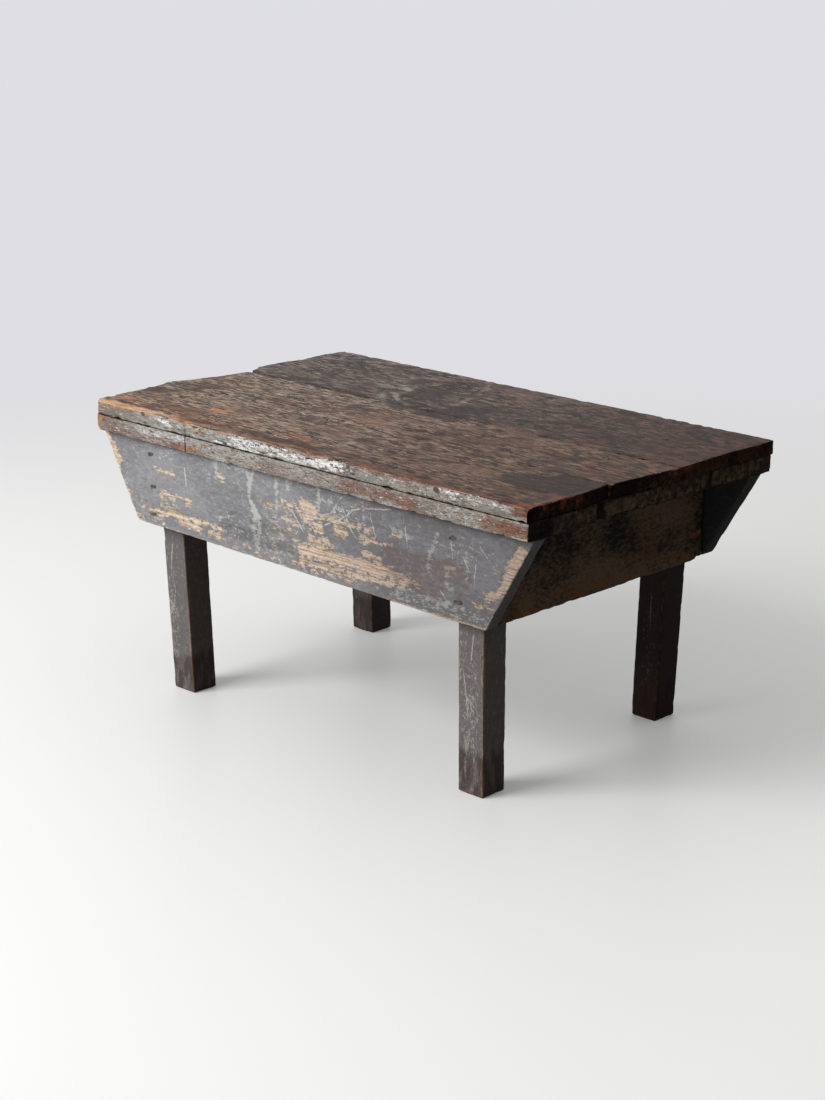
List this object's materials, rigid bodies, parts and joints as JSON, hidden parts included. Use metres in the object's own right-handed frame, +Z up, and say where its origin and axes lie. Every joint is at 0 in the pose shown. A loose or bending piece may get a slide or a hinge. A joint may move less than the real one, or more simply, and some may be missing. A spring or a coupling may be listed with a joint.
{
  "type": "wooden bench",
  "caption": "Low rectangular bench or table of nailed boards: a double board top on slant-ended aprons and square corner legs, in worn paint.",
  "frame": {"origin": "on the floor, under the middle of the bench's overall box", "axes": "+X along the bench's length, +Y towards its back, +Z up"},
  "size_m": [0.945, 0.539, 0.46],
  "materials": {
    "worn_top_wood": "bare softwood, weathered dark grey-brown and worn smooth, with traces of paint at the edges",
    "under_board_wood": "softwood with thin chipped grey paint on the front edge and dark end grain",
    "painted_apron_wood": "softwood in old slate-grey paint, worn through to tan wood along the grain",
    "painted_leg_wood": "softwood in old slate-grey paint, rubbed bare on the arrises and the feet",
    "nail_iron": "rusted cut nails"
  },
  "bodies": {
    "root": {"top_board_front": "worn_top_wood", "top_board_middle": "worn_top_wood", "top_board_back": "worn_top_wood", "under_board_front_short": "under_board_wood", "under_board_front_long": "under_board_wood", "under_board_middle": "under_board_wood", "under_strip": "under_board_wood", "under_board_back": "under_board_wood", "front_apron": "painted_apron_wood", "back_apron": "painted_apron_wood", "left_end_board": "painted_apron_wood", "right_end_board": "painted_apron_wood", "leg_front_left": "painted_leg_wood", "leg_front_right": "painted_leg_wood", "leg_back_right": "painted_leg_wood", "leg_back_left": "painted_leg_wood", "nail_front_apron_left_1": "nail_iron", "nail_front_apron_left_2": "nail_iron", "nail_front_apron_left_3": "nail_iron", "nail_front_apron_right_1": "nail_iron", "nail_front_apron_right_2": "nail_iron", "nail_back_apron_left_1": "nail_iron", "nail_back_apron_left_2": "nail_iron", "nail_back_apron_left_3": "nail_iron", "nail_back_apron_right_1": "nail_iron", "nail_back_apron_right_2": "nail_iron", "nail_left_end_front_1": "nail_iron", "nail_left_end_front_2": "nail_iron", "nail_left_end_back_1": "nail_iron", "nail_left_end_back_2": "nail_iron", "nail_right_end_front_1": "nail_iron", "nail_right_end_front_2": "nail_iron", "nail_right_end_back_1": "nail_iron", "nail_right_end_back_2": "nail_iron", "nail_top_left_1": "nail_iron", "nail_top_left_2": "nail_iron", "nail_top_left_3": "nail_iron", "nail_top_left_4": "nail_iron", "nail_top_left_5": "nail_iron", "nail_top_left_6": "nail_iron", "nail_top_left_7": "nail_iron", "nail_top_right_1": "nail_iron", "nail_top_right_2": "nail_iron", "nail_top_right_3": "nail_iron", "nail_top_right_4": "nail_iron", "nail_top_right_5": "nail_iron", "nail_top_right_6": "nail_iron", "nail_top_right_7": "nail_iron", "nail_top_front_1": "nail_iron", "nail_top_front_2": "nail_iron", "nail_top_front_3": "nail_iron", "nail_top_front_4": "nail_iron", "nail_top_back_1": "nail_iron", "nail_top_back_2": "nail_iron", "nail_top_back_3": "nail_iron", "nail_top_back_4": "nail_iron"}
  },
  "joints": []
}
